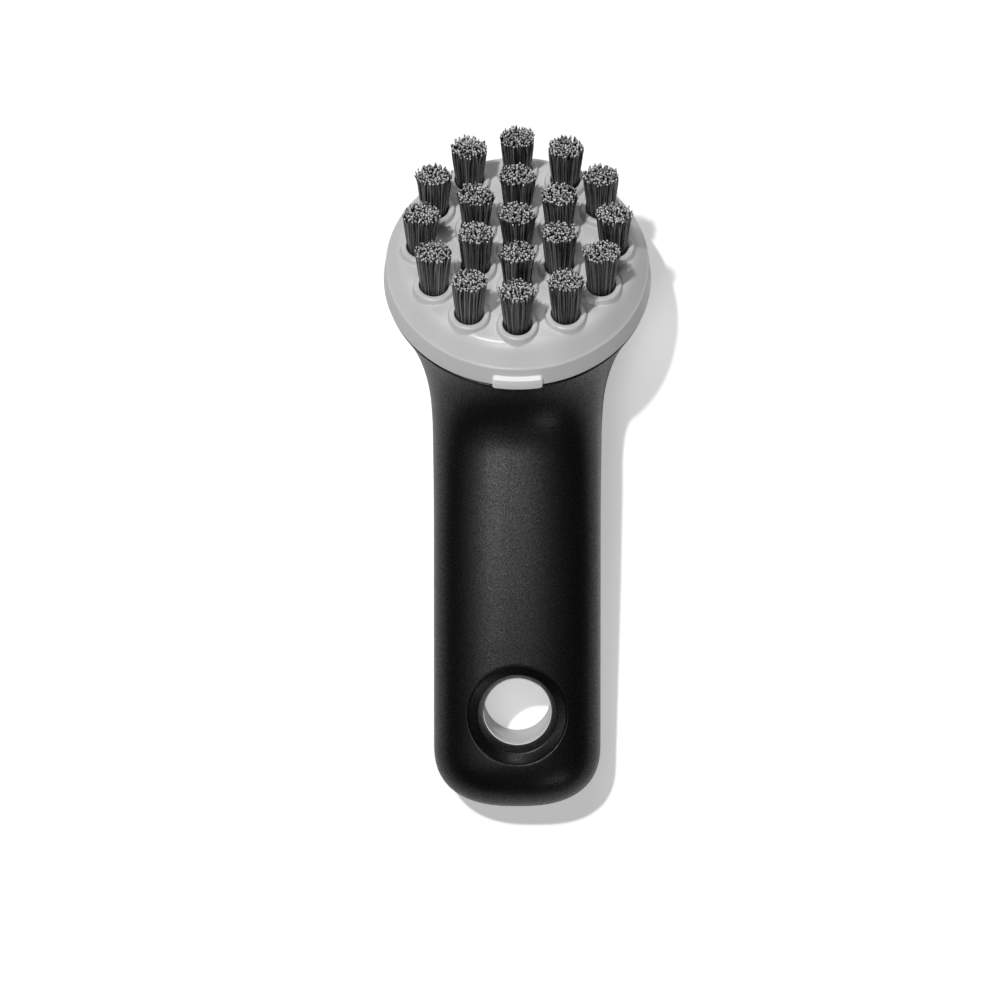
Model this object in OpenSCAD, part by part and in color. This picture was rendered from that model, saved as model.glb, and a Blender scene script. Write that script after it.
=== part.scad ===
// Round scrubbing brush with a soft handle, lying on its back with its bristles up.
// Everything is drawn in the head's own frame, with the plate's rim at height zero and the
// handle going off towards -Y, and is then laid down on the floor by lying().

/* [Plate] */
// Radius of the plate at its lower rim
plate_r = 30.7; // [29:0.1:33]
// Height of the plate's side wall
wall_h = 5.2; // [4.8:0.1:7]
// How far the side wall leans in over its height
wall_lean = 0.5; // [0.2:0.1:1]
// How far the sloping shoulder comes in from the side wall to the flat top
shoulder_run = 3.4; // [2.5:0.1:4]
// Height of the flat top above the rim
flat_top_h = 11.1; // [10:0.1:12]
// Rounding of the rim's lower edge
rim_round = 0.4; // [0.2:0.1:0.6]
// Rounding between the side wall and the shoulder
shoulder_round = 0.9; // [0.3:0.1:1.5]
// Rounding between the shoulder and the flat top
top_round = 2; // [0.5:0.1:3]
// Width of the rim that the plate stands on, round the recess under it
plate_rim_w = 3.1; // [2.7:0.1:4]
// Depth of the recess under the plate
recess_depth = 4.2; // [3:0.1:4.4]
// Play between parts that are pushed together
seat_play = 0.05; // [0.02:0.01:0.1]

/* [Collars and sockets] */
// Height of a collar's top above the rim
collar_h = 12.7; // [12.3:0.1:14]
// Outer radius of a collar's lip
lip_r = 4.7; // [4.4:0.1:5]
// Rounding of the lip's outer edge
lip_round = 0.6; // [0.2:0.1:0.8]
// Height of the lip's straight side
lip_side = 1.1; // [0.8:0.1:1.6]
// How far the skirt of a collar spreads outwards
skirt_spread = 2.4; // [1.5:0.1:3]
// Height of the skirt of a collar
skirt_h = 4.6; // [3.5:0.1:4.8]
// Radius of a tuft's socket
socket_r = 3.4; // [3:0.05:3.6]
// Thickness of plastic left under a socket
socket_floor = 1.3; // [1:0.1:2]
// Depth from a collar's top to the top of the packed tuft root
root_below_lip = 0.9; // [0.4:0.1:1.5]
// Distance of the outer ring of tufts from the edge of the flat top
ring_margin = 4.8; // [4.6:0.1:6]

/* [Bristles] */
// Free length of the bristles above the collars
bristle_len = 12.6; // [9:0.1:16]
// Radius of a tuft where it leaves its socket
tuft_base_r = 2.85; // [2.4:0.05:2.95]
// Half width of a tuft's tip, across the brush
tip_half_w = 3.9; // [3:0.05:4.4]
// Half depth of a tuft's tip, along the brush
tip_half_d = 2.95; // [2.5:0.05:3.2]
// Radius of one bristle
bristle_r = 0.42; // [0.25:0.01:0.45]
// Width of the flat anchor wire that holds a tuft
anchor_w = 1.6; // [1.2:0.1:2]
// Thickness of the anchor wire
anchor_t = 0.4; // [0.3:0.05:0.6]

/* [Cup and handle] */
// How far the cup's edge keeps inside the plate's rim
cup_inset = 0.1; // [0:0.1:1]
// Dark line left between the plate and the soft skin
skin_gap = 0.5; // [0.2:0.1:0.8]
// Radius of the hollow where the handle meets the plate's rim
throat_r = 22.7; // [18:0.1:26]
// Angle between the handle and the plane of the plate
bend = 42; // [40:0.5:46]
// Half width of the neck where it turns into the handle
neck_half_w = 19.4; // [19:0.1:22]
// Length over which the neck narrows to the handle
neck_len = 16.5; // [8:0.5:20]
// How much deeper than the handle the neck is where it turns
neck_deep = 5; // [3:0.1:6]
// Length of the arch behind the neck
arch_len = 26; // [20:0.5:30]
// Half width of the handle
grip_half_w = 19.2; // [16:0.1:20]
// Half thickness of the handle
grip_half_t = 12.5; // [11:0.1:14]
// Length of the handle beyond the turn of the neck
grip_len = 82; // [76:0.1:96]
// Length over which the handle's end rounds off, seen from above
end_round_w = 14.5; // [10:0.5:20]
// Length over which the handle's end rounds off, seen from the side
end_round_t = 12; // [8:0.5:16]
// Thickness of the soft skin
skin_t = 2.6; // [2:0.1:3]

/* [Hanging hole] */
// Distance of the hanging hole from the handle's end
hole_from_end = 23.1; // [20:0.1:30]
// Lean of the hole's axis off the handle's square, towards the end
hole_lean = 3; // [0:0.5:5]
// Radius of the hole through the hard core
hole_r = 7.7; // [5:0.1:8]
// Wall of the core's tube round the hole
tube_wall = 2.6; // [2:0.1:3]
// Depth from the front of the handle to the tube
tube_depth = 5.4; // [4.5:0.1:6]
// Radius of the dished rim round the hole
dish_r = 11.4; // [11:0.1:12.5]
// Depth of the dished rim at its outer edge
dish_depth = 1.2; // [0.8:0.1:1.5]
// Depth from the back of the handle to the tube
tube_back = 1.2; // [1:0.1:2]
// How much wider the soft skin's back opening is than the hole
back_flare = 1.2; // [0.4:0.1:1.6]
// Radius of the soft step inside the dish
step_r = 9.1; // [8.5:0.1:9.6]
// Depth of the soft step
step_depth = 1.9; // [1.6:0.1:2.4]

/* [Catch] */
// Width of the catch that holds the plate
catch_w = 11.4; // [8:0.1:14]
// Height of the catch
catch_h = 4.6; // [3.5:0.1:4.7]
// How far the catch stands out from the rim
catch_proud = 0.8; // [0.4:0.1:1.2]
// Corner radius of the catch
catch_corner = 0.9; // [0.4:0.1:1.4]
// Gap round the catch
catch_gap = 0.35; // [0.2:0.05:0.5]

/* [Stance] */
// Tilt of the plate from level as the brush lies on its back
tilt = 35.5; // [34:0.1:37]

/* [Hidden] */
$fn = 64;
// Overrun of every cut past the face that it opens
overrun = 1;
// Number of tufts, with the centre one first, then the inner and the outer ring
inner_count = 6;
outer_count = 12;
tuft_count = 1 + inner_count + outer_count;
// Strands of one tuft, their sides, and how deep they are fused into the packed root
strand_count = 25;
strand_sides = 3;
strand_seat = 0.5;
// Turn from one strand to the next, so that they pack evenly
golden_turn = 137.508;
// Points of a ring of the skin and of the core, and rings of their turn, neck and end
skin_points = 56;
core_points = 32;
skin_turn_rings = 20;
core_turn_rings = 12;
neck_rings = 7;
end_rings = 9;
// Shape exponents of the round cup, the full handle and the handle's end
round_power = 2;
grip_power = 2.7;
end_power = 2.5;
// Share that brings the heel's fall nearer to the plate
heel_share = 0.673;
// How late and how steeply the cup's sides draw in to the neck
waist_power = 1.06;
waist_fall_power = 3.2;
// How fast a collar's skirt spreads, and steps along it and along a rounding
skirt_power = 1.6;
skirt_steps = 6;
round_steps = 6;
// Depth of the core's rim under the plate, and how far it runs into the soft skin
core_rim_depth = 3;
core_rim_grip = 0.5;

flat_top_r = plate_r - wall_lean - shoulder_run;
recess_r = plate_r - plate_rim_w;
cup_r = plate_r - cup_inset;
core_rim_r = cup_r - skin_t + core_rim_grip;
outer_ring_r = flat_top_r - ring_margin;
ring_pitch = outer_ring_r / 2;
tip_h = collar_h + bristle_len;
root_top_h = collar_h - root_below_lip;
socket_bottom_h = recess_depth + socket_floor;
plug_r = socket_r - seat_play;
tube_r = hole_r + tube_wall;
turn = 90 - bend;

// Place of a tuft: centre, inner ring, then outer ring, each ring starting at its far side
function tuft_place(i) =
    i == 0 ? [0, 0]
    : i <= inner_count ? ring_place(ring_pitch, (i - 1) * 360 / inner_count)
    : ring_place(outer_ring_r, (i - 1 - inner_count) * 360 / outer_count);
function ring_place(radius, angle) = [-radius * sin(angle), radius * cos(angle)];

// Points of the arc that rounds corner b between a and c
function unit(v) = v / norm(v);
function rounded(a, b, c, radius) =
    let (to_a = unit(a - b), to_c = unit(c - b),
         half = acos(to_a * to_c) / 2,
         centre = b + unit(to_a + to_c) * radius / sin(half),
         from = b + to_a * radius / tan(half) - centre,
         to = b + to_c * radius / tan(half) - centre,
         sweep = 180 - 2 * half)
    [for (k = [0 : round_steps])
        centre + (sin(sweep * (1 - k / round_steps)) * from
                  + sin(sweep * k / round_steps) * to) / sin(sweep)];

// Ease from 1 to 0 as the share goes from 0 to 1
function ease(share) = (1 + cos(180 * share)) / 2;
// One coordinate of a full oval: a circle at power 2, squarer above it
function oval(value, power) = sign(value) * pow(abs(value), 2 / power);
// How full the handle's end is at a distance from its tip
function fullness(distance, length) =
    distance >= length ? 1
    : pow(1 - pow(1 - distance / length, end_power), 1 / end_power);

// The loft's rings turn about a line just above the throat, where rim and handle meet
throat = [-(cup_r + throat_r), -skin_gap];
function up(angle) = [-sin(angle), cos(angle)];
away = [-cos(bend), -sin(bend)];
neck_top = throat - throat_r * up(bend);
neck = neck_top - grip_half_t * up(bend);
// Extra depth of the handle behind the neck, and its rate where the neck turns
function neck_extra(distance) = neck_deep * pow(1 - min(1, distance / arch_len), 2);
neck_height = 2 * grip_half_t + neck_deep;
turn_arc = turn * PI / 180;
arch_rate = -2 * neck_deep / arch_len * (throat_r + neck_height) * turn_arc;
// Half width and full height of a turning ring: share is 0 at the cup and 1 at the neck
function turn_half_w(share) =
    neck_half_w + (cup_r - neck_half_w) * pow(1 - pow(share, waist_power), waist_fall_power);
function turn_height(share) =
    neck_height + (2 * cup_r - neck_height) * ease(pow(share, heel_share))
    - arch_rate * pow(share, 2) * (1 - share);
// Half width of the handle at a distance from the neck
function grip_half_width(distance) =
    grip_half_w + (neck_half_w - grip_half_w) * pow(1 - min(1, distance / neck_len), 2);

// One ring of the loft: its points about centre [y, z], standing along up(angle)
function ring(centre, angle, half_w, half_h, power, points) =
    [for (k = [0 : points - 1])
        let (a = 360 * (k + 1 / 2) / points,
             rise = half_h * oval(sin(a), power))
        [half_w * oval(cos(a), power), centre[0] + rise * up(angle)[0],
         centre[1] + rise * up(angle)[1]]];
function turn_ring(share, inset, points) =
    let (angle = 90 - turn * share,
         half_h = turn_height(share) / 2,
         centre = throat - (throat_r + half_h) * up(angle))
    ring(centre, angle, turn_half_w(share) - inset, half_h - inset,
         round_power + (grip_power - round_power) * share, points);
function grip_ring(distance, inset, points) =
    let (from_end = grip_len - distance - inset,
         half_h = grip_half_t + neck_extra(distance) / 2,
         centre = neck_top + distance * away - half_h * up(bend))
    ring(centre, bend,
         (grip_half_width(distance) - inset) * fullness(from_end, end_round_w - inset),
         (half_h - inset) * fullness(from_end, end_round_t - inset),
         grip_power, points);
function all_rings(inset, points, turn_rings) = concat(
    [for (k = [0 : turn_rings]) turn_ring(k / turn_rings, inset, points)],
    [for (k = [1 : neck_rings]) grip_ring(arch_len * k / neck_rings, inset, points)],
    [for (k = [0 : end_rings])
        grip_ring(grip_len - inset
                  - (end_round_w - inset) * (1 - sin(90 * (k + 1 / 4) / (end_rings + 1 / 2))),
                  inset, points)]);

// Closed skin over a list of rings with the same number of points
module skin(rings) {
    points = len(rings[0]);
    last = len(rings) - 1;
    sides = [for (r = [0 : last - 1], k = [0 : points - 1])
        let (a = r * points + k, b = r * points + (k + 1) % points)
        each [[a, a + points, b], [b, a + points, b + points]]];
    start = [for (k = [1 : points - 2]) [0, k, k + 1]];
    finish = [for (k = [1 : points - 2]) [0, k + 1, k] + [1, 1, 1] * last * points];
    polyhedron([for (r = rings) each r], concat(start, sides, finish), convexity = 4);
}

// Height of the lowest point of the skin once the head is tilted
function lying_z(p) = -p[1] * sin(tilt) + p[2] * cos(tilt);
function lying_y(p) = p[1] * cos(tilt) + p[2] * sin(tilt);
floor_drop = min([for (r = all_rings(0, skin_points, skin_turn_rings), p = r) lying_z(p)]);
far_y = lying_y([0, outer_ring_r + tip_half_d + bristle_r, tip_h]);
near_y = min([for (r = all_rings(0, skin_points, skin_turn_rings), p = r) lying_y(p)]);
module lying() {
    translate([0, -(far_y + near_y) / 2, -floor_drop]) rotate([-tilt, 0, 0]) children();
}
// Places its children where the hanging hole's axis crosses the handle's middle
module at_hole() {
    hole_centre = neck + (grip_len - hole_from_end) * away;
    translate([0, hole_centre[0], hole_centre[1]])
        rotate([bend + hole_lean, 0, 0]) children();
}
module at_tufts() {
    for (i = [0 : tuft_count - 1]) translate(tuft_place(i)) children();
}

// Hard core before it is cut in two halves
module core_blank() {
    difference() {
        union() {
            skin(all_rings(skin_t, core_points, core_turn_rings));
            translate([0, 0, -core_rim_depth]) cylinder(h = core_rim_depth, r = core_rim_r);
            at_hole() translate([0, 0, tube_back - grip_half_t])
                cylinder(h = grip_half_t, r = tube_r);
        }
        at_hole() translate([0, 0, grip_half_t - tube_depth])
            cylinder(h = grip_half_t, r = tube_r);
    }
}

module core_half(front) {
    size = 2 * (grip_len + plate_r);
    difference() {
        intersection() {
            core_blank();
            // Wedge behind the parting faces: under the rim and behind the handle's middle
            if (!front) parting_wedge(size);
        }
        if (front) parting_wedge(size);
        at_hole() cylinder(h = 2 * grip_half_t + overrun, r = hole_r, center = true);
    }
}

// Space behind the parting line, which follows the handle's middle and the cup's seat
module parting_wedge(size) {
    seat = -core_rim_depth - skin_gap;
    meet = neck - (seat - neck[1]) / sin(bend) * away;
    rotate([90, 0, 90]) linear_extrude(size, center = true)
        polygon([meet, meet + size * away, meet + size * away - size * up(bend),
                 [size, seat - size], [size, seat]]);
}

// Rounded slab in the XZ plane, reaching from the origin towards -Y
module rounded_slab(width, height, corner, depth) {
    rotate([90, 0, 0]) linear_extrude(depth) translate([-width / 2, 0]) {
        translate([corner, 0]) square([width - 2 * corner, height]);
        translate([0, corner]) square([width, height - 2 * corner]);
        for (x = [corner, width - corner], z = [corner, height - corner])
            translate([x, z]) circle(corner);
    }
}

module core_front() {
    color("gainsboro") lying() {
        core_half(true);
        // Spigot that centres the plate
        cylinder(h = recess_depth - seat_play, r = recess_r - seat_play);
        // Catch that shows in the plate's side wall
        intersection() {
            rounded_slab(catch_w, catch_h, catch_corner, plate_r + catch_proud);
            difference() {
                cylinder(h = catch_h, r = plate_r + catch_proud);
                translate([0, 0, -overrun])
                    cylinder(h = catch_h + 2 * overrun, r = recess_r - 2 * catch_gap);
            }
        }
    }
}

module core_back() {
    color("silver") lying() core_half(false);
}

module grip() {
    color("#1c1c1e") lying() difference() {
        skin(all_rings(0, skin_points, skin_turn_rings));
        core_blank();
        at_hole() {
            rotate_extrude() polygon([
                [0, grip_half_t - tube_depth - overrun],
                [hole_r, grip_half_t - tube_depth - overrun],
                [hole_r, grip_half_t - tube_depth],
                [step_r, grip_half_t - step_depth],
                [dish_r, grip_half_t - dish_depth],
                [dish_r, grip_half_t + overrun],
                [0, grip_half_t + overrun]]);
            rotate_extrude() polygon([
                [0, overrun + tube_back - grip_half_t],
                [hole_r, overrun + tube_back - grip_half_t],
                [hole_r, tube_back - grip_half_t],
                [hole_r + back_flare, -grip_half_t],
                [hole_r + back_flare, -grip_half_t - overrun],
                [0, -grip_half_t - overrun]]);
        }
    }
}

module plate_profile() {
    top = [flat_top_r, flat_top_h];
    shoulder = [plate_r - wall_lean, wall_h];
    rim = [plate_r, 0];
    polygon(concat(
        [[0, recess_depth], [recess_r, recess_depth], [recess_r, 0]],
        rounded([recess_r, 0], rim, shoulder, rim_round),
        rounded(rim, shoulder, top, shoulder_round),
        rounded(shoulder, top, [0, flat_top_h], top_round),
        [[0, flat_top_h]]));
}

module collar() {
    side_h = collar_h - lip_side - lip_round;
    rotate_extrude() polygon(concat(
        [[0, side_h - skirt_h], [lip_r + skirt_spread, side_h - skirt_h]],
        [for (k = [skirt_steps - 1 : -1 : 0])
            [lip_r + skirt_spread * pow(k / skirt_steps, skirt_power),
             side_h - skirt_h * k / skirt_steps]],
        rounded([lip_r, side_h], [lip_r, collar_h], [0, collar_h], lip_round),
        [[0, collar_h]]));
}

module brush_plate() {
    color("#dcdcda") lying() difference() {
        union() {
            rotate_extrude() plate_profile();
            at_tufts() collar();
        }
        at_tufts() translate([0, 0, socket_bottom_h])
            cylinder(h = collar_h, r = socket_r);
        // Window for the catch
        translate([0, -recess_r + overrun, -overrun])
            rounded_slab(catch_w + 2 * catch_gap, catch_h + catch_gap + overrun,
                         catch_corner + catch_gap, plate_r);
    }
}

// One strand from its root to its tip, each given as [x, y]
module strand(root, tip) {
    skin([strand_end(root, root_top_h - strand_seat), strand_end(tip, tip_h)]);
}
function strand_end(at, height) =
    [for (k = [0 : strand_sides - 1])
        [at[0] + bristle_r * cos(360 * k / strand_sides),
         at[1] + bristle_r * sin(360 * k / strand_sides), height]];

module tuft(i) {
    color("#3a3a3c") lying() translate(tuft_place(i)) {
        // Packed root, with a slot for the anchor wire
        difference() {
            translate([0, 0, socket_bottom_h])
                cylinder(h = root_top_h - socket_bottom_h, r = plug_r);
            translate([0, 0, socket_bottom_h + anchor_w / 2])
                cube([2 * socket_r, anchor_t + 2 * seat_play, anchor_w + 2 * seat_play],
                     center = true);
        }
        for (k = [0 : strand_count - 1]) {
            reach = sqrt((k + 1 / 2) / strand_count);
            side = [reach * cos(golden_turn * k), reach * sin(golden_turn * k)];
            strand(tuft_base_r * side, [tip_half_w * side[0], tip_half_d * side[1]]);
        }
    }
}

module tuft_anchors() {
    color("silver") lying() at_tufts()
        translate([0, 0, socket_bottom_h + anchor_w / 2])
            cube([2 * plug_r, anchor_t, anchor_w], center = true);
}

grip();
core_front();
core_back();
brush_plate();
tuft_anchors();
for (i = [0 : tuft_count - 1])
    tuft(i);
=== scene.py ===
import math

import bmesh
import bpy
from mathutils import Matrix, Vector
from mathutils.geometry import delaunay_2d_cdt


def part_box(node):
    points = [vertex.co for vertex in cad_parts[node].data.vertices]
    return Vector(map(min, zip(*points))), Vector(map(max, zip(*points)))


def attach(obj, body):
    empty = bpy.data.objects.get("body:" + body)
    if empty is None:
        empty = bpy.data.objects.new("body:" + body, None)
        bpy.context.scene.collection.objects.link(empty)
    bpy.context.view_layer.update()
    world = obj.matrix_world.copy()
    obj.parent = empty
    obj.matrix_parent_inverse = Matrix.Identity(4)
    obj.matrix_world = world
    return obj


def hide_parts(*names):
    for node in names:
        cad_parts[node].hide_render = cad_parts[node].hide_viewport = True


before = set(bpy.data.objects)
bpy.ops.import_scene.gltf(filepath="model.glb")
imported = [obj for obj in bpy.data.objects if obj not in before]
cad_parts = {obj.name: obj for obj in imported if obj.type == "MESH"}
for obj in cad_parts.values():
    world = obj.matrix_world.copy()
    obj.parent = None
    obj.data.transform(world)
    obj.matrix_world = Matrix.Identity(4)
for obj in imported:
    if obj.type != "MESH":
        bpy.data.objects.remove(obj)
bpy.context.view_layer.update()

# The brush lies on its back, bristles up, on a white sheet. The camera hangs straight above it
# on a long lens, so that nothing is seen from the side.
mm = 0.001
camera_height = 2500 * mm
picture_width = 229.9 * mm
camera = bpy.data.cameras.new("camera")
camera.sensor_width = 36
camera.lens = camera.sensor_width * camera_height / picture_width
camera.clip_start, camera.clip_end = 0.1, 10
camera_holder = bpy.data.objects.new("camera", camera)
camera_holder.location = (-3.98 * mm, -7.81 * mm, camera_height + 21 * mm)
bpy.context.scene.collection.objects.link(camera_holder)
bpy.context.scene.camera = camera_holder


class Wire:
    """A node's output in a material or a geometry tree. Sums on it become Math nodes."""

    def __init__(self, tree, socket=None):
        self.tree, self.socket = tree, socket

    def to(self, kind, sockets=None, out=0, stops=None, **settings):
        """Adds a node: its settings first, then the values or links of its sockets."""
        node = self.tree.nodes.new(kind)
        for name, value in settings.items():
            setattr(node, name, value)
        if stops:
            ramp = node.color_ramp.elements
            while len(ramp) < len(stops):
                ramp.new(1)
            for element, (place, colour) in zip(ramp, stops):
                element.position, element.color = place, colour
        for name, value in (sockets or {}).items():
            if isinstance(value, Wire):
                self.tree.links.new(value.socket, node.inputs[name])
            else:
                node.inputs[name].default_value = value
        return Wire(self.tree, node.outputs[out] if node.outputs else None)

    def math(self, operation, *values):
        return self.to("ShaderNodeMath", dict(enumerate(values)), operation=operation)

    def __add__(self, other):
        return self.math("ADD", self, other)

    def __sub__(self, other):
        return self.math("SUBTRACT", self, other)

    def __rsub__(self, other):
        return self.math("SUBTRACT", other, self)

    def __mul__(self, other):
        return self.math("MULTIPLY", self, other)

    def __truediv__(self, other):
        return self.math("DIVIDE", self, other)

    def __pow__(self, other):
        return self.math("POWER", self, other)

    __radd__, __rmul__ = __add__, __mul__

    def blend(self, dark, light):
        """Colour from dark at 0 to light at 1."""
        return self.to("ShaderNodeMix", {0: self, 6: dark, 7: light}, out=2, data_type="RGBA")

    def vector(self, operation, *values, out=0):
        return self.to("ShaderNodeVectorMath", dict(enumerate(values)), out=out,
                       operation=operation)


def new_finish(name):
    """An empty material, and its Object coordinates as a wire."""
    material = bpy.data.materials.new(name)
    material.use_nodes = True
    material.node_tree.nodes.clear()
    start = Wire(material.node_tree)
    return material, start.to("ShaderNodeTexCoord", out="Object")


def grain(place, scale, detail=2, rough=0.5):
    """Fine noise of a size given in spots a metre, from 0 to 1."""
    return place.to("ShaderNodeTexNoise", {"Vector": place, "Scale": scale, "Detail": detail,
                                           "Roughness": rough}, out=0)


def close_finish(place, **sockets):
    """Puts the wires and values on a Principled shader under their names."""
    names = {name.replace("_", " "): value for name, value in sockets.items()}
    surface = place.to("ShaderNodeBsdfPrincipled", names)
    place.to("ShaderNodeOutputMaterial", {"Surface": surface})


# White sheet under the brush: it goes to pure white where it is lit and keeps the shadow grey.
sheet_half = 2.0
sheet_mesh = bpy.data.meshes.new("sheet")
sheet_mesh.from_pydata([(-sheet_half, -sheet_half, 0), (sheet_half, -sheet_half, 0),
                        (sheet_half, sheet_half, 0), (-sheet_half, sheet_half, 0)],
                       [], [(0, 1, 2, 3)])
sheet = bpy.data.objects.new("sheet", sheet_mesh)
bpy.context.scene.collection.objects.link(sheet)
sheet_white, sheet_place = new_finish("sheet_white")
seen_straight = sheet_place.to("ShaderNodeLightPath", out="Is Camera Ray")
paper = sheet_place.to("ShaderNodeBsdfDiffuse", {"Color": (0.84, 0.84, 0.84, 1)})
lift = sheet_place.to("ShaderNodeEmission", {"Color": (1, 1, 1, 1),
                                             "Strength": seen_straight * 0.44})
sheet_place.to("ShaderNodeOutputMaterial",
               {"Surface": sheet_place.to("ShaderNodeAddShader", {0: paper, 1: lift})})
sheet_mesh.materials.append(sheet_white)

# Soft studio light: a hard lamp from the upper left that draws the shadow, a small soft one near
# the head, low panels behind the head and at the front right, and a dim room.


def hang(name, kind, place, strength, aim=(0, 0, 0), **settings):
    """A lamp at a place, turned to a point, or else to the middle of the sheet."""
    light = bpy.data.lights.new(name, kind)
    light.energy = strength
    for setting, value in settings.items():
        setattr(light, setting, value)
    holder = bpy.data.objects.new(name, light)
    holder.location = place
    holder.rotation_euler = (Vector(place) - Vector(aim)).to_track_quat("Z", "Y").to_euler()
    bpy.context.scene.collection.objects.link(holder)


hang("lamp", "SUN", (-0.24, 0.291, 1.0), 2.05, angle=math.radians(2.2))
hang("near_lamp", "SPOT", (-0.052, -0.069, 0.368), 1.2, aim=(0, 0.043, 0.03),
     spot_size=math.radians(38), spot_blend=1.0, shadow_soft_size=0.05)
hang("back_panel", "AREA", (0.0, 1.07, 0.75), 2.3, shape="DISK", size=0.4)
hang("front_panel", "AREA", (0.50, -0.93, 0.75), 0.9, shape="DISK", size=0.4)
room = bpy.data.worlds.new("room")
room.use_nodes = True
room.node_tree.nodes.clear()
Wire(room.node_tree).to("ShaderNodeOutputWorld", {"Surface": Wire(room.node_tree).to(
    "ShaderNodeBackground", {"Color": (1, 1, 1, 1), "Strength": 0.01})})
bpy.context.scene.world = room
bpy.context.scene.view_settings.view_transform = "Standard"


# The head leans on the handle. Its own frame has the plate's rim at height 0, the sockets'
# axes along +Z and the handle towards -Y; the anchors' box says where it stands.
lean = math.radians(35.5)
anchor_mid_h = 6.3 * mm
low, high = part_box("tuft_anchors")
head_up = Vector((0, math.sin(lean), math.cos(lean)))
head_place = (Matrix.Translation((Vector(low) + Vector(high)) / 2 - anchor_mid_h * head_up)
              @ Matrix.Rotation(-lean, 4, "X"))


def new_piece(name, mesh, material, *nodes):
    """A finished piece that stands for the named solids, with its place in its mesh."""
    piece = bpy.data.objects.new(name, mesh)
    bpy.context.scene.collection.objects.link(piece)
    mesh.materials.clear()
    mesh.materials.append(material)
    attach(piece, "root")
    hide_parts(*nodes)
    return piece


# Hard core: two moulded halves of white plastic. It shows as the tube in the hanging hole,
# where the halves meet in a fine double line, and as the catch in the plate's wall.
bend, hole_lean = math.radians(42), math.radians(3)
cup_r, throat_r, skin_gap = 30.6, 22.7, 0.5
grip_half_w, grip_half_t, grip_len = 19.2, 12.5, 82.0
hole_from_end, hole_r = 23.1, 7.7


def up(angle):
    return Vector((-math.sin(angle), math.cos(angle)))


away = Vector((-math.cos(bend), -math.sin(bend)))
throat = Vector((-(cup_r + throat_r), -skin_gap))
neck_top = throat - throat_r * up(bend)
hole_d = grip_len - hole_from_end
hole_mid = neck_top - grip_half_t * up(bend) + hole_d * away
# Hole's own frame, in mm: its axis is +Z and the handle's end is at -Y
hole_place = (Matrix.Translation((0, hole_mid[0] * mm, hole_mid[1] * mm))
              @ Matrix.Rotation(bend + hole_lean, 4, "X"))

core_white, core_place = new_finish("core_white")
core_cloud = grain(core_place, 240, detail=3)
core_fine = grain(core_place, 5200)
core_bump = core_place.to("ShaderNodeBump", {"Height": core_fine, "Strength": 0.25,
                                             "Distance": 0.00002})
close_finish(core_place,
             Base_Color=core_cloud.blend((0.88, 0.88, 0.875, 1), (0.92, 0.92, 0.915, 1)),
             Roughness=0.34 + 0.1 * core_cloud, Normal=core_bump)

catch_r, spigot_r, catch_share = 31.5, 26.9, 0.68
catch_side, core_edge = 6, 0.4
for half in ("core_front", "core_back"):
    bm = bmesh.new()
    bm.from_mesh(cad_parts[half].data)
    bmesh.ops.remove_doubles(bm, verts=bm.verts, dist=0.002 * mm)
    bmesh.ops.dissolve_limit(bm, angle_limit=math.radians(0.5), verts=bm.verts, edges=bm.edges)
    to_hole = hole_place.inverted()
    to_head = head_place.inverted()
    # The catch is lower in the photograph than in the solid
    for v in bm.verts:
        p = (to_head @ v.co) / mm
        if (half == "core_front" and abs(p.x) < catch_side and p.y < 0 and p.z > 0.05
                and math.hypot(p.x, p.y) > spigot_r + 0.3):
            v.co = head_place @ (Vector((p.x, p.y, p.z * catch_share)) * mm)
    soft_edges = []
    for edge in bm.edges:
        if not edge.is_manifold or edge.calc_face_angle(0) < math.radians(35):
            continue
        in_hole = [(to_hole @ (to_head @ v.co)) / mm for v in edge.verts]
        in_head = [(to_head @ v.co) / mm for v in edge.verts]
        if all(abs(math.hypot(p.x, p.y) - hole_r) < 0.1 for p in in_hole):
            soft_edges.append(edge)
        elif all(math.hypot(p.x, p.y) > catch_r - 0.1 and p.z > -0.1 for p in in_head):
            soft_edges.append(edge)
    bmesh.ops.bevel(bm, geom=soft_edges, offset=core_edge * mm, segments=4, profile=0.5,
                    affect="EDGES", clamp_overlap=True)
    half_mesh = bpy.data.meshes.new(half + "_moulding")
    bm.to_mesh(half_mesh)
    bm.free()
    half_mesh.shade_smooth()
    half_mesh.set_sharp_from_angle(angle=math.radians(32))
    new_piece(half + "_moulding", half_mesh, core_white, half)


# Soft skin: black rubber moulded over the core in one shot, with a fine grain of small glints. It
# turns from the round cup into the flat handle, and is dished round the hanging hole.
neck_half_w, neck_len, neck_deep, arch_len = 19.4, 16.5, 5.0, 26.0
end_round_w, end_round_t = 14.5, 12.0
round_power, grip_power, end_power = 2.0, 2.7, 2.5
heel_share, waist_power, waist_fall_power = 0.673, 1.06, 3.2
dish_r, step_r, step_depth, tube_depth, tube_back, back_r = 11.4, 9.1, 1.9, 5.4, 1.2, 8.9
turn = math.pi / 2 - bend
neck_height = 2 * grip_half_t + neck_deep
arch_rate = -2 * neck_deep / arch_len * (throat_r + neck_height) * turn
mouth_round = 0.45


def oval(value, power):
    return math.copysign(abs(value) ** (2 / power), value)


def fullness(distance, length):
    if distance >= length:
        return 1
    return (1 - (1 - max(distance, 0) / length) ** end_power) ** (1 / end_power)


def neck_extra(d):
    return neck_deep * (1 - min(1, d / arch_len)) ** 2


def handle_size(d):
    """Half width and half height of the handle at a distance from the neck."""
    wide = grip_half_w + (neck_half_w - grip_half_w) * (1 - min(1, d / neck_len)) ** 2
    return (wide * fullness(grip_len - d, end_round_w),
            (grip_half_t + neck_extra(d) / 2) * fullness(grip_len - d, end_round_t))


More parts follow.
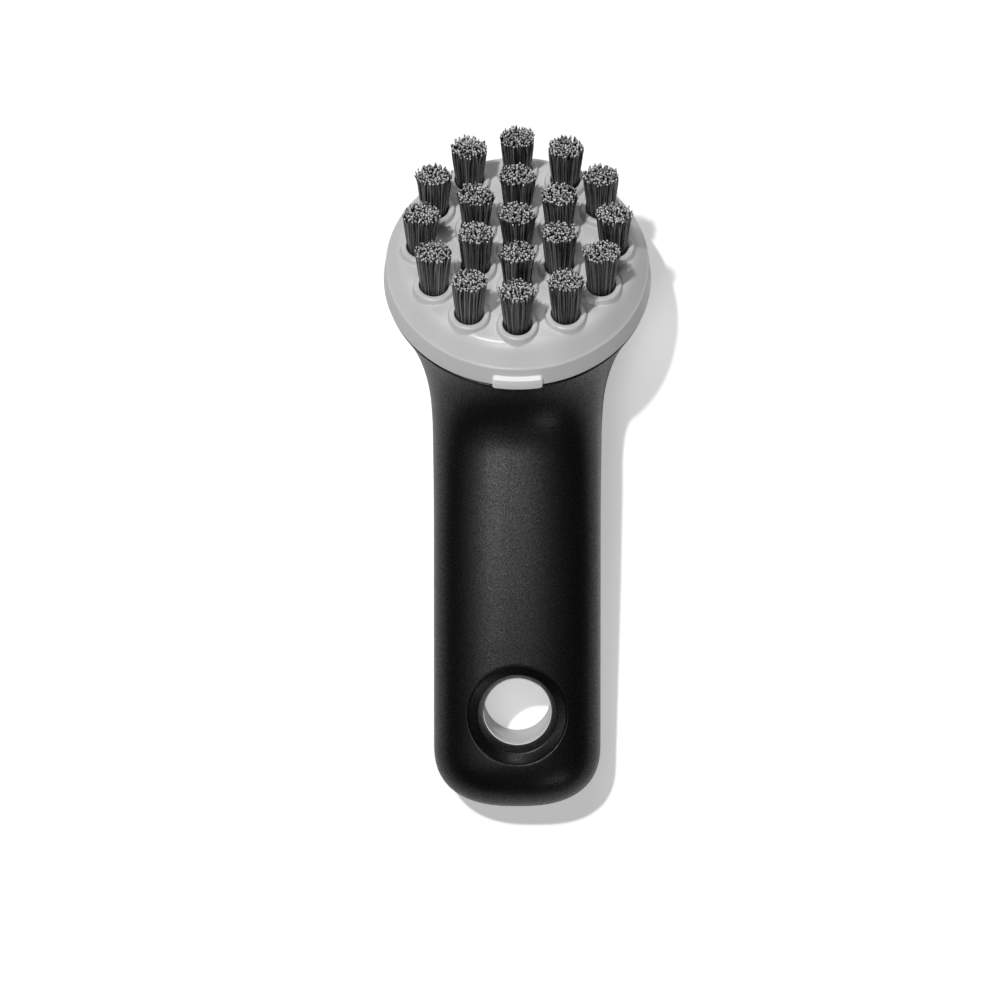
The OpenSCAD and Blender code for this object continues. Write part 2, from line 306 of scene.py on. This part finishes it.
def turn_ring(share):
    """Centre, slant, half sizes and fullness of a ring between the cup and the neck."""
    angle = math.pi / 2 - turn * share
    wide = neck_half_w + (cup_r - neck_half_w) * (1 - share ** waist_power) ** waist_fall_power
    fall = (1 + math.cos(math.pi * share ** heel_share)) / 2
    half = (neck_height + (2 * cup_r - neck_height) * fall
            - arch_rate * share ** 2 * (1 - share)) / 2
    return (throat - (throat_r + half) * up(angle), angle, wide, half,
            round_power + (grip_power - round_power) * share)


def handle_ring(d):
    wide, half = handle_size(d)
    centre = neck_top + d * away - (grip_half_t + neck_extra(d) / 2) * up(bend)
    return centre, bend, wide, half, grip_power


# Angles round a ring that come out evenly spaced along the handle's outline
columns = 168
fine = [math.pi * 2 * k / 4000 for k in range(4001)]
outline = [Vector((grip_half_w * oval(math.cos(a), grip_power),
                   grip_half_t * oval(math.sin(a), grip_power))) for a in fine]
run = [0.0]
for here, there in zip(outline, outline[1:]):
    run.append(run[-1] + (there - here).length)
around, k = [], 0
for column in range(columns):
    while run[k + 1] < run[-1] * column / columns:
        k += 1
    around.append(fine[k] + (fine[k + 1] - fine[k])
                  * (run[-1] * column / columns - run[k]) / (run[k + 1] - run[k]))

turn_shares = [0, 0.0008, 0.002, 0.0035, 0.0055, 0.008, 0.012, 0.018, 0.027, 0.04]
turn_shares += [0.06 + 0.94 * k / 47 for k in range(48)]
hole_from, hole_to, hole_rows = hole_d - 14.5, hole_d + 14.0, 34
handle_ds = [hole_from * k / 56 for k in range(1, 56)]
hole_first = len(turn_shares) + len(handle_ds)
handle_ds += [hole_from + (hole_to - hole_from) * k / hole_rows for k in range(hole_rows + 1)]
end_left = grip_len - hole_to
handle_ds += [grip_len - end_left * (1 - math.sin(math.pi / 2 * k / 26)) for k in range(1, 26)]
skin_rings = [turn_ring(s) for s in turn_shares] + [handle_ring(d) for d in handle_ds]


def ring_point(ring, a):
    """A point of the skin in the head's frame, in mm, with the mouth's edge rounded over."""
    centre, angle, wide, half, power = ring
    across = wide * oval(math.cos(a), power)
    along = centre + half * oval(math.sin(a), power) * up(angle)
    depth = -skin_gap - along[1]
    radius = math.hypot(across, along[0])
    if depth < mouth_round and radius > cup_r / 2:
        inset = mouth_round - math.sqrt(mouth_round ** 2 - (mouth_round - max(depth, 0)) ** 2)
        across *= 1 - inset / radius
        along = Vector((along[0] * (1 - inset / radius), along[1]))
    return Vector((across, along[0], along[1])) * mm


skin = bmesh.new()
net = [[ring_point(ring, a) for a in around] for ring in skin_rings]
# The hollow of the neck runs out into the straight handle over a few millimetres
neck_row = len(turn_shares) - 1
soft_rows, soft_passes = 19, 30
for _ in range(soft_passes):
    for c in range(columns):
        column = [net[r][c] for r in range(neck_row - soft_rows, neck_row + soft_rows + 1)]
        for k in range(1, len(column) - 1):
            back, here, on = column[k - 1], column[k], column[k + 1]
            before, after = (here - back).length, (on - here).length
            straight = (back * after + on * before) / (before + after)
            net[neck_row - soft_rows + k][c] = here.lerp(straight, 0.5)
rows = [[skin.verts.new(p) for p in line] for line in net]
first_hole, last_hole = hole_first, hole_first + hole_rows
quarter = columns // 4
reach = 19
cut = {side: (middle - reach, middle + reach) for side, middle in
       (("front", quarter), ("back", 3 * quarter))}
for r in range(len(rows) - 1):
    for c in range(columns):
        if first_hole <= r < last_hole and any(a <= c < b for a, b in cut.values()):
            continue
        n = (c + 1) % columns
        skin.faces.new((rows[r][c], rows[r + 1][c], rows[r + 1][n], rows[r][n]))
tip = skin.verts.new(Vector((0, *(neck_top + grip_len * away - grip_half_t * up(bend)))) * mm)
for c in range(columns):
    skin.faces.new((rows[-1][c], tip, rows[-1][(c + 1) % columns]))


def crown(x, y, sign):
    """Height of the handle's front over the hole's middle, in mm, or of its back with sign -1."""
    height = grip_half_t
    for _ in range(4):
        d = hole_d - y * math.cos(hole_lean) + height * sign * math.sin(hole_lean)
        wide, half = handle_size(d)
        square = half * (1 - min(1, abs(x) / wide) ** grip_power) ** (1 / grip_power)
        height = (square - sign * y * math.sin(hole_lean)) / math.cos(hole_lean)
    return height


def hole_wall(side, profile):
    """Fills the skin between the gap in its rings and a round edge, then goes down the hole.

    The profile has (radius, height) pairs: a height of None lies on the skin."""
    sign = 1 if side == "front" else -1
    first, last = cut[side]
    border = ([rows[first_hole][c] for c in range(first, last)]
              + [rows[r][last] for r in range(first_hole, last_hole)]
              + [rows[last_hole][c] for c in range(last, first, -1)]
              + [rows[r][first] for r in range(last_hole, first_hole, -1)])
    flat = [(hole_place.inverted() @ v.co) / mm for v in border]
    angles = [math.atan2(p.y, p.x) for p in flat]
    previous = border
    outer = profile[0][0]
    steps = 9
    loops = []
    for step in range(1, steps + 1):
        share = step / steps
        loops.append([(p.x + (outer * math.cos(a) - p.x) * share,
                       p.y + (outer * math.sin(a) - p.y) * share, None)
                      for p, a in zip(flat, angles)])
    for radius, drop in profile[1:]:
        loops.append([(radius * math.cos(a), radius * math.sin(a), drop) for a in angles])
    for loop in loops:
        ring = []
        for x, y, drop in loop:
            if drop is None:
                height = crown(x, y, sign)
            elif drop[0] == "under":
                height = crown(x, y, sign) - drop[1]
            else:
                height = drop[1]
            ring.append(skin.verts.new(hole_place @ (Vector((x, y, sign * height)) * mm)))
        for k in range(len(ring)):
            n = (k + 1) % len(ring)
            skin.faces.new((previous[k], previous[n], ring[n], ring[k]) if sign > 0
                           else (previous[k], ring[k], ring[n], previous[n]))
        previous = ring
    return previous


def rolled(edge_r, size, steps=4):
    """Rolled edge that leaves the skin and turns down at a radius."""
    return [(edge_r + size * (1 - math.sin(t)), ("under", size * (1 - math.cos(t))))
            for t in (math.pi / 2 * k / steps for k in range(1, steps + 1))]


step_h = grip_half_t - step_depth
front_end = hole_wall("front", [(dish_r + 0.3, None)] + rolled(dish_r, 0.3) + [
    (dish_r - 0.06, ("under", 0.42)), (dish_r - 0.3, ("under", 0.62)),
    (step_r + 0.45, ("at", step_h + 0.12)), (step_r + 0.22, ("at", step_h + 0.02)),
    (step_r + 0.1, ("at", step_h - 0.02)), (step_r - 0.02, ("at", step_h - 0.14)),
    (step_r - 0.1, ("at", step_h - 0.34)), (hole_r + 0.7, ("at", grip_half_t - 3.2)),
    (hole_r + 0.35, ("at", grip_half_t - 4.6)), (hole_r + 0.15, ("at", grip_half_t - tube_depth)),
    (hole_r + 0.9, ("at", grip_half_t - tube_depth - 0.02))])
back_end = hole_wall("back", [(back_r + 0.5, None)] + rolled(back_r, 0.5) + [
    (back_r - 0.3, ("at", grip_half_t - 0.8)), (hole_r + 0.4, ("at", grip_half_t - tube_back)),
    (hole_r + 0.9, ("at", grip_half_t - tube_back - 0.02))])
for k in range(len(front_end)):
    # A sleeve joins the two walls behind the core's tube; the back's ring runs the other way
    n = (k + 1) % len(front_end)
    skin.faces.new((front_end[k], front_end[n], back_end[(2 * reach - n) % len(back_end)],
                    back_end[(2 * reach - k) % len(back_end)]))
# The mouth's lip turns in under the plate, and a floor closes the skin there
mouth_r = 28.6
lip = []
for v in rows[0]:
    flat_r = math.hypot(v.co.x, v.co.y)
    lip.append(skin.verts.new((v.co.x * mouth_r * mm / flat_r, v.co.y * mouth_r * mm / flat_r,
                               v.co.z)))
centre = skin.verts.new((0, 0, -skin_gap * mm))
for c in range(columns):
    n = (c + 1) % columns
    skin.faces.new((rows[0][n], lip[n], lip[c], rows[0][c]))
    skin.faces.new((lip[n], centre, lip[c]))
bmesh.ops.remove_doubles(skin, verts=skin.verts, dist=0.0005 * mm)
bmesh.ops.recalc_face_normals(skin, faces=skin.faces)
skin_mesh = bpy.data.meshes.new("soft_skin")
skin.to_mesh(skin_mesh)
skin.free()
skin_mesh.transform(head_place)
skin_mesh.shade_smooth()
skin_mesh.set_sharp_from_angle(angle=math.radians(50))

soft_black, soft_place = new_finish("soft_black")
soft_cloud = grain(soft_place, 60, detail=4, rough=0.6)
soft_pebble = grain(soft_place, 4600, detail=2, rough=0.6)
soft_bump = soft_place.to("ShaderNodeBump", {"Height": soft_pebble, "Strength": 0.8,
                                             "Distance": 0.00006})
soft_glint = soft_place.to("ShaderNodeValToRGB", {"Fac": soft_pebble},
                           stops=[(0.44, (0, 0, 0, 1)), (0.62, (1, 1, 1, 1))])
close_finish(soft_place,
             Base_Color=soft_cloud.blend((0.001, 0.001, 0.0011, 1), (0.002, 0.002, 0.0021, 1)),
             Roughness=0.33 + 0.10 * soft_pebble + 0.04 * soft_cloud, Specular_IOR_Level=0.22,
             Coat_Weight=soft_glint, Coat_Roughness=0.33, Normal=soft_bump)
new_piece("soft_skin", skin_mesh, soft_black, "grip")


# Brush plate: one moulding of pale grey plastic. Nineteen collars run out softly into the flat
# top and over the sloping shoulder, and each has a blind socket for a tuft.
plate_r, wall_h, wall_lean = 30.7, 5.2, 0.5
flat_top_r, flat_top_h = 26.8, 11.1
recess_r, recess_depth = 27.6, 4.2
collar_h, lip_r, lip_round, lip_side = 12.7, 4.7, 0.6, 1.1
skirt_spread, skirt_h, skirt_power = 2.4, 4.6, 1.6
socket_r, socket_floor_h, socket_round = 3.4, 5.5, 0.25
ring_pitch = 11.0
tuft_places = [(0.0, 0.0)]
for ring_r, count in ((ring_pitch, 6), (2 * ring_pitch, 12)):
    for k in range(count):
        a = 2 * math.pi * k / count
        tuft_places.append((-ring_r * math.sin(a), ring_r * math.cos(a)))


def softer(a, b, blend_mm):
    """The higher of two heights, with a soft hollow where they cross."""
    mix = max(blend_mm - abs(a - b), 0) / blend_mm
    return max(a, b) + mix * mix * blend_mm / 4


def base_height(r):
    """Flat top and shoulder, with a soft crest between them."""
    slope = (flat_top_h - wall_h) / (plate_r - wall_lean - flat_top_r)
    on_slope = flat_top_h - slope * (r - flat_top_r)
    blend_mm = 2.4
    mix = max(blend_mm - abs(flat_top_h - on_slope), 0) / blend_mm
    return min(flat_top_h, on_slope) - mix * mix * blend_mm / 4


def collar_height(r):
    side_h = collar_h - lip_round - lip_side
    top_r = lip_r - lip_round
    if r <= top_r:
        return collar_h
    if r <= lip_r:
        return collar_h - lip_round + math.sqrt(max(lip_round ** 2 - (r - top_r) ** 2, 0))
    steep = collar_h - lip_round - (r - lip_r) * 9
    skirt = side_h - skirt_h * ((r - lip_r) / skirt_spread) ** (1 / skirt_power)
    return softer(steep, skirt, 0.9)


def plate_height(x, y):
    collars = max(collar_height(math.hypot(x - px, y - py)) for px, py in tuft_places)
    return softer(base_height(math.hypot(x, y)), collars, 1.1)


plate = bmesh.new()
spokes = 72
patch_r = 5.45
patch_radii = [3.75, 3.95, 4.15, 4.3, 4.42, 4.52, 4.6, 4.66, 4.71, 4.77, 4.83, 4.9, 4.98, 5.08,
               5.2, 5.32, patch_r]
patch_edges = []
for px, py in tuft_places:
    aims = [(math.cos(2 * math.pi * k / spokes), math.sin(2 * math.pi * k / spokes))
            for k in range(spokes)]
    loops = [[(px + (socket_r - 0.01) * c, py + (socket_r - 0.01) * s, socket_floor_h)
              for c, s in aims],
             [(px + socket_r * c, py + socket_r * s, collar_h - 0.3) for c, s in aims]]
    for turned in (0.25, 0.5, 0.75, 1):
        t = math.pi / 2 * turned
        opening = socket_r + socket_round * (1 - math.cos(t))
        loops.append([(px + opening * c, py + opening * s,
                       collar_h - socket_round * (1 - math.sin(t))) for c, s in aims])
    for r in patch_radii:
        loops.append([(px + r * c, py + r * s, plate_height(px + r * c, py + r * s))
                      for c, s in aims])
    rings = [[plate.verts.new(Vector(p) * mm) for p in loop] for loop in loops]
    floor_vert = plate.verts.new(Vector((px, py, socket_floor_h)) * mm)
    for k in range(spokes):
        n = (k + 1) % spokes
        plate.faces.new((floor_vert, rings[0][k], rings[0][n]))
        for inner, outer in zip(rings, rings[1:]):
            plate.faces.new((inner[k], outer[k], outer[n], inner[n]))
    patch_edges.append([(px + patch_r * c, py + patch_r * s) for c, s in aims])

# Ground between the collars, out to where the shoulder begins to round over
ground_r = 29.6
rim_spokes = 300
points = [p for edge in patch_edges for p in edge]
edges, start = [], 0
for edge in patch_edges:
    edges += [(start + k, start + (k + 1) % spokes) for k in range(spokes)]
    start += spokes
rim = [(ground_r * math.cos(2 * math.pi * k / rim_spokes),
        ground_r * math.sin(2 * math.pi * k / rim_spokes)) for k in range(rim_spokes)]
edges += [(start + k, start + (k + 1) % rim_spokes) for k in range(rim_spokes)]
points += rim
spacing = 0.5
for row in range(-70, 71):
    for column in range(-62, 63):
        x = (column + (row % 2) / 2) * spacing
        y = row * spacing * math.sqrt(3) / 2
        if math.hypot(x, y) > ground_r - 0.3:
            continue
        if min(math.hypot(x - px, y - py) for px, py in tuft_places) > patch_r + 0.25:
            points.append((x, y))
found, _, triangles, *_ = delaunay_2d_cdt([Vector(p) for p in points], edges, [], 0, 1e-6)
ground = [plate.verts.new(Vector((p.x, p.y, plate_height(p.x, p.y))) * mm) for p in found]
for triangle in triangles:
    mid = sum((found[i] for i in triangle), Vector((0, 0))) / 3
    if min(math.hypot(mid.x - px, mid.y - py) for px, py in tuft_places) > patch_r - 0.01:
        plate.faces.new([ground[i] for i in triangle])

# Shoulder, side wall, rim and recess, turned round the middle
turned = [(ground_r, plate_height(ground_r, 0))]
shoulder_round, rim_round = 0.9, 0.4
shoulder_mid = (plate_r - wall_lean - shoulder_round, wall_h - 0.06)
for k in range(1, 9):
    t = math.radians(30 + (86 - 30) * k / 8)
    turned.append((shoulder_mid[0] + shoulder_round * math.sin(t),
                   shoulder_mid[1] + shoulder_round * math.cos(t)))
turned += [(plate_r - 0.35, 3.6), (plate_r - 0.18, 1.9), (plate_r - 0.03, 0.5)]
for k in range(1, 6):
    t = math.pi / 2 * k / 5
    turned.append((plate_r - rim_round + rim_round * math.cos(t),
                   rim_round - rim_round * math.sin(t)))
turned += [(recess_r, 0), (recess_r, recess_depth)]
previous = None
for r, z in turned:
    heights = [z] * rim_spokes
    if previous is None:
        heights = [plate_height(x, y) for x, y in rim]
    ring = [plate.verts.new(Vector((r * x / ground_r, r * y / ground_r, h)) * mm)
            for (x, y), h in zip(rim, heights)]
    if previous:
        for k in range(rim_spokes):
            n = (k + 1) % rim_spokes
            plate.faces.new((previous[k], ring[k], ring[n], previous[n]))
    previous = ring
under = plate.verts.new(Vector((0, 0, recess_depth)) * mm)
for k in range(rim_spokes):
    plate.faces.new((previous[k], under, previous[(k + 1) % rim_spokes]))
bmesh.ops.remove_doubles(plate, verts=plate.verts, dist=0.003 * mm)
bmesh.ops.recalc_face_normals(plate, faces=plate.faces)
plate_mesh = bpy.data.meshes.new("plate_moulding")
plate.to_mesh(plate_mesh)
plate.free()
plate_mesh.transform(head_place)
plate_mesh.shade_smooth()
plate_mesh.set_sharp_from_angle(angle=math.radians(50))

plate_grey, plate_place = new_finish("plate_grey")
plate_cloud = grain(plate_place, 90, detail=4)
plate_fine = grain(plate_place, 3200)
plate_bump = plate_place.to("ShaderNodeBump", {"Height": plate_fine, "Strength": 0.3,
                                               "Distance": 0.00005})
close_finish(plate_place,
             Base_Color=(0.4 * plate_cloud + 0.6 * plate_fine).blend((0.56, 0.56, 0.555, 1),
                                                           (0.69, 0.69, 0.685, 1)),
             Roughness=0.27 + 0.10 * plate_fine, Normal=plate_bump)
new_piece("plate_moulding", plate_mesh, plate_grey, "brush_plate")


# Anchors: short flat wires that hold the folded bristles down in their sockets.
wire_steel, wire_place = new_finish("wire_steel")
wire_draw = grain(wire_place, 3000)
close_finish(wire_place, Base_Color=wire_draw.blend((0.5, 0.5, 0.5, 1), (0.62, 0.62, 0.61, 1)),
             Metallic=1.0, Roughness=0.3 + 0.15 * wire_draw)
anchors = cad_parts["tuft_anchors"]
anchors.data.materials.clear()
anchors.data.materials.append(wire_steel)


# Tufts: stiff charcoal nylon filaments, 200 in each, folded in half round an anchor and
# cut level. They leave the socket packed and spread across the brush.
nylon, nylon_place = new_finish("nylon")
strand_shade = nylon_place.to("ShaderNodeAttribute", out="Fac", attribute_name="strand_shade",
                              attribute_type="GEOMETRY")
strand_share = nylon_place.to("ShaderNodeAttribute", out="Fac", attribute_name="strand_share",
                              attribute_type="GEOMETRY")
# The top of each filament is its cut end: the mask makes it rougher, and it also carries a
# painted highlight, a much lighter colour than the sides for the light falling on the tip faces
# from above.
cut_end = strand_share.math("SMOOTH_MIN", 1.0, (strand_share - 0.975) * 60, 0.1)
cut_end = cut_end.math("MAXIMUM", cut_end, 0.0)
draw_lines = grain(nylon_place, 900, detail=2)
side_colour = (strand_shade ** 2 * 0.85 + 0.15 * draw_lines).blend((0.008, 0.008, 0.0083, 1),
                                                                  (0.22, 0.22, 0.225, 1))
# Painted highlight: the cut ends are coloured much lighter than the sides to stand in for the
# light from above on the tips.
painted_lit_tip_colour = strand_shade.blend((0.12, 0.12, 0.12, 1), (0.82, 0.82, 0.81, 1))
nylon_colour = nylon_place.to("ShaderNodeMix", {0: cut_end, 6: side_colour, 7: painted_lit_tip_colour},
                              out=2, data_type="RGBA")
close_finish(nylon_place, Base_Color=nylon_colour, Roughness=0.22 + 0.33 * cut_end)

tuft_tree = bpy.data.node_groups.new("tuft", "GeometryNodeTree")
tuft_inputs = {
    "Filaments": ("NodeSocketInt", 200), "Root radius": ("NodeSocketFloat", 2.85 * mm),
    "Tip half width": ("NodeSocketFloat", 4.05 * mm),
    "Tip half depth": ("NodeSocketFloat", 3.05 * mm),
    "Root height": ("NodeSocketFloat", 10.4 * mm), "Tip height": ("NodeSocketFloat", 25.3 * mm),
    "Unevenness": ("NodeSocketFloat", 0.40 * mm), "Stray": ("NodeSocketFloat", 0.28 * mm),
    "Curl": ("NodeSocketFloat", 0.42 * mm),
    "Filament radius": ("NodeSocketFloat", 0.18 * mm), "Seed": ("NodeSocketInt", 0),
    "Nylon": ("NodeSocketMaterial", None)}
tuft_names = {}
for name, (kind, value) in tuft_inputs.items():
    item = tuft_tree.interface.new_socket(name, in_out="INPUT", socket_type=kind)
    tuft_names[name] = item.identifier
tuft_tree.interface.new_socket("Geometry", in_out="OUTPUT", socket_type="NodeSocketGeometry")
tree = Wire(tuft_tree)
entry = tuft_tree.nodes.new("NodeGroupInput")
given = {name: Wire(tuft_tree, entry.outputs[name]) for name in tuft_inputs}


def chance(low, high, seed_step, vector=False):
    """A random value for each filament."""
    seed = given["Seed"] * 17 + seed_step
    if vector:
        return tree.to("FunctionNodeRandomValue", {0: low, 1: high, "Seed": seed},
                       data_type="FLOAT_VECTOR")
    return tree.to("FunctionNodeRandomValue", {2: low, 3: high, "Seed": seed}, out=1,
                   data_type="FLOAT")


number = tree.to("GeometryNodeInputIndex")
reach_share = ((number + 0.5) / given["Filaments"]).math("SQRT", (number + 0.5)
                                                         / given["Filaments"])
spiral = number * 2.399963
side_x = reach_share * spiral.math("COSINE", spiral)
side_y = reach_share * spiral.math("SINE", spiral)
root = tree.to("ShaderNodeCombineXYZ", {"X": side_x * given["Root radius"],
                                        "Y": side_y * given["Root radius"],
                                        "Z": given["Root height"]})
tip_z = (given["Tip height"] + given["Unevenness"] * chance(-1.0, 0.75, 1)
         - given["Unevenness"] * 0.6 * (reach_share ** 2))
tip = tree.to("ShaderNodeCombineXYZ", {
    "X": side_x * given["Tip half width"] + given["Stray"] * chance(-1.0, 1.0, 2),
    "Y": side_y * given["Tip half depth"] + given["Stray"] * chance(-1.0, 1.0, 3),
    "Z": tip_z})
bow = chance((-1.0, -1.0, 0.0), (1.0, 1.0, 0.0), 4, vector=True)
points = tree.to("GeometryNodePoints", {"Count": given["Filaments"]})
for name, value, kind in (("root", root, "FLOAT_VECTOR"), ("tip", tip, "FLOAT_VECTOR"),
                          ("bow", bow, "FLOAT_VECTOR"),
                          ("strand_shade", chance(0.0, 1.0, 5), "FLOAT"),
                          ("strand_size", chance(0.88, 1.08, 6), "FLOAT")):
    points = points.to("GeometryNodeStoreNamedAttribute",
                       {"Geometry": points, "Name": name, "Value": value}, data_type=kind,
                       domain="POINT")
line = tree.to("GeometryNodeCurvePrimitiveLine", {"Start": (0, 0, 0), "End": (0, 0, 0.01)})
line = line.to("GeometryNodeResampleCurve", {"Curve": line, "Count": 9})
strands = tree.to("GeometryNodeInstanceOnPoints", {"Points": points, "Instance": line})
strands = tree.to("GeometryNodeRealizeInstances", {"Geometry": strands})


def kept(name, kind):
    return tree.to("GeometryNodeInputNamedAttribute", {"Name": name}, data_type=kind)


share = tree.to("GeometryNodeSplineParameter", out="Factor")
way = tree.to("ShaderNodeMix", {0: share, 4: kept("root", "FLOAT_VECTOR"),
                                5: kept("tip", "FLOAT_VECTOR")}, out=1, data_type="VECTOR")
swing = share * (1 - share) * given["Stray"] * 1.6
curl = given["Curl"] * share ** 9
sway = tree.to("ShaderNodeVectorMath", {0: kept("bow", "FLOAT_VECTOR"), "Scale": swing - curl},
               operation="SCALE")
strands = tree.to("GeometryNodeSetPosition", {
    "Geometry": strands, "Position": way.vector("ADD", way, sway)})
strands = tree.to("GeometryNodeStoreNamedAttribute",
                  {"Geometry": strands, "Name": "strand_share", "Value": share},
                  data_type="FLOAT", domain="POINT")
outline = tree.to("GeometryNodeCurvePrimitiveCircle",
                  {"Resolution": 6, "Radius": given["Filament radius"]})
body = tree.to("GeometryNodeCurveToMesh", {
    "Curve": tree.to("GeometryNodeSetCurveRadius",
                     {"Curve": strands, "Radius": kept("strand_size", "FLOAT")}),
    "Profile Curve": outline, "Fill Caps": True})
for name in ("root", "tip", "bow", "strand_size"):
    body = tree.to("GeometryNodeRemoveAttribute", {"Geometry": body, "Name": name})
body = tree.to("GeometryNodeRealizeInstances", {"Geometry": body})
body = tree.to("GeometryNodeSetMaterial", {"Geometry": body, "Material": given["Nylon"]})
tree.to("NodeGroupOutput", {"Geometry": body})

for number, (px, py) in enumerate(tuft_places, start=1):
    bench = bpy.data.objects.new("bench", bpy.data.meshes.new("bench"))
    bpy.context.scene.collection.objects.link(bench)
    growth = bench.modifiers.new("tuft", "NODES")
    growth.node_group = tuft_tree
    for name, (_, value) in tuft_inputs.items():
        if name == "Nylon":
            value = nylon
        if name == "Seed":
            value = number
        growth[tuft_names[name]] = value
    bpy.context.view_layer.update()
    grown = bpy.data.meshes.new_from_object(
        bench.evaluated_get(bpy.context.evaluated_depsgraph_get()),
        preserve_all_data_layers=True, depsgraph=bpy.context.evaluated_depsgraph_get())
    bench.modifiers.remove(growth)
    bpy.data.objects.remove(bench)
    grown.transform(head_place @ Matrix.Translation((px * mm, py * mm, 0)))
    grown.shade_smooth()
    grown.set_sharp_from_angle(angle=math.radians(40))
    name = f"tuft_{number:02d}"
    new_piece(name + "_bristles", grown, nylon, name)
